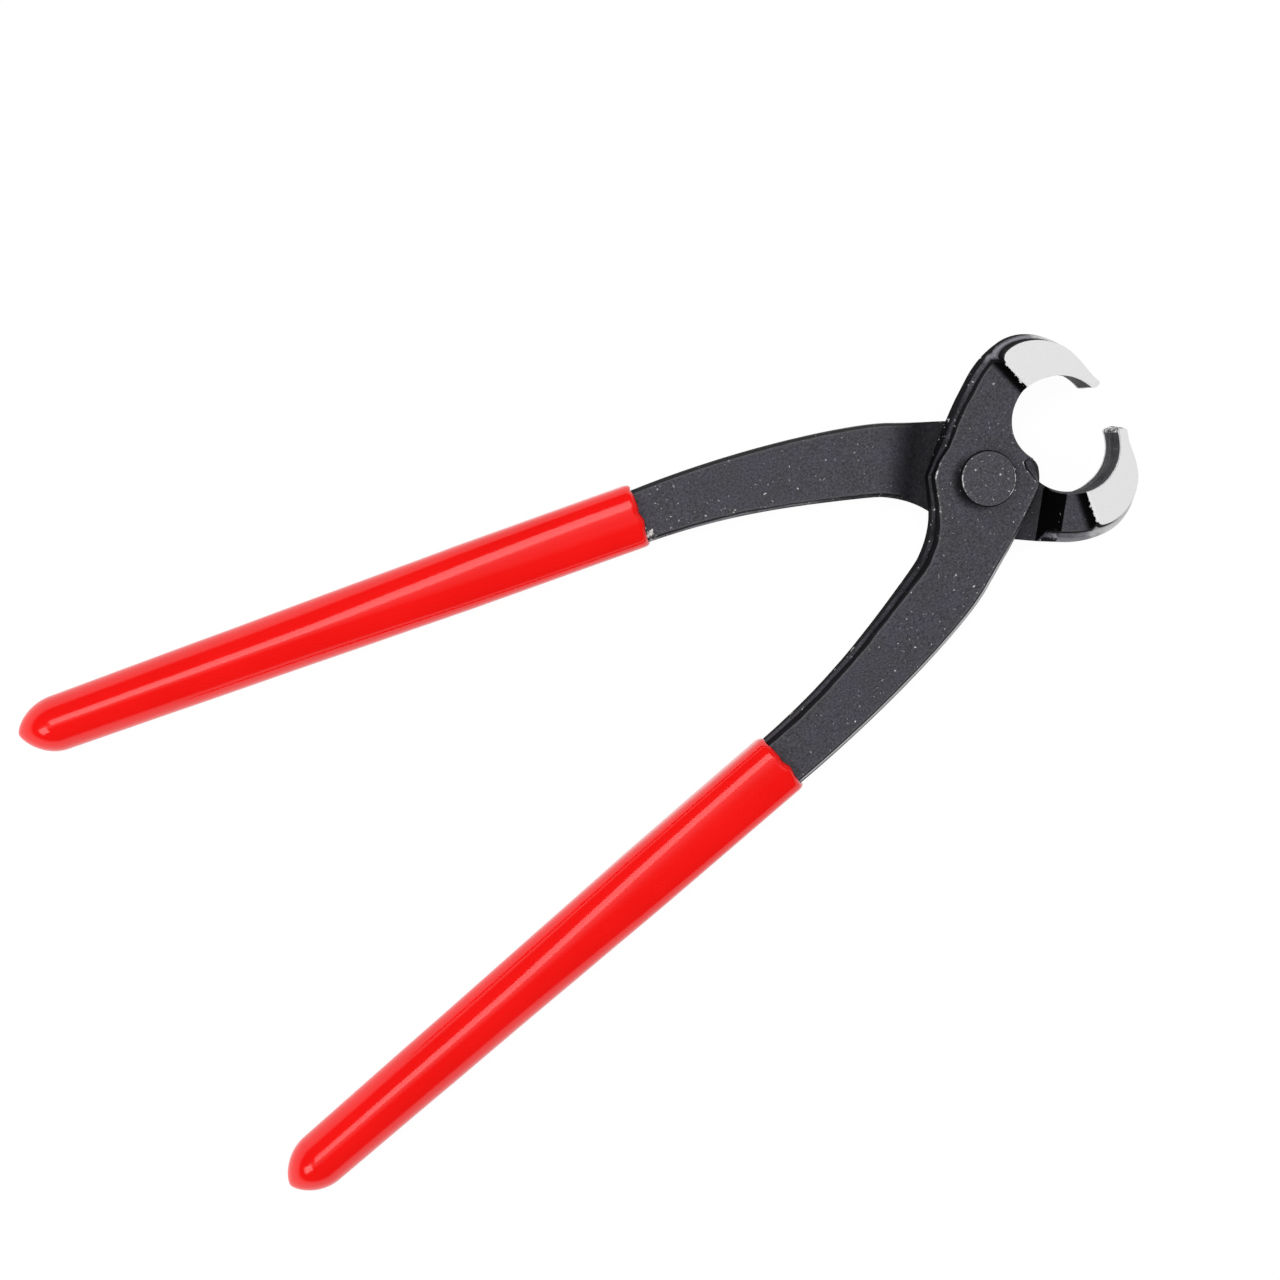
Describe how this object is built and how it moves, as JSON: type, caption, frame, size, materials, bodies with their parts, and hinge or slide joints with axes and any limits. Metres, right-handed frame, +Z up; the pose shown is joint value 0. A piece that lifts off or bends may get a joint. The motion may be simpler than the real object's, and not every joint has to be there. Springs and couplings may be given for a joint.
{
  "type": "ear clamp pliers",
  "caption": "Forged pincers with crescent jaws on a riveted lap joint and dipped red sleeve handles, for pinching the ears of hose clamps.",
  "frame": {"origin": "on the rivet's axis, on the plane the tool lies on, which is the face of the rivet's tail", "axes": "+X along the tool from the handles to the jaws, midway between the two levers; +Z up through the rivet's head; the front lever's jaw is on +Y and its handle on -Y"},
  "size_m": [0.2121, 0.109, 0.012],
  "materials": {
    "black_steel": "satin",
    "rivet_steel": "satin",
    "red_vinyl": "gloss"
  },
  "bodies": {
    "front_half": {"front_lever": "black_steel", "pivot_rivet": "rivet_steel", "front_grip": "red_vinyl"},
    "rear_half": {"rear_lever": "black_steel", "rear_grip": "red_vinyl"}
  },
  "joints": [
    {"name": "jaw_hinge", "type": "hinge", "parent": "front_half", "child": "rear_half", "pos_m": [0, 0, 0.006], "axis": [0, 0, -1], "range_deg": [-19.4, 22]}
  ]
}
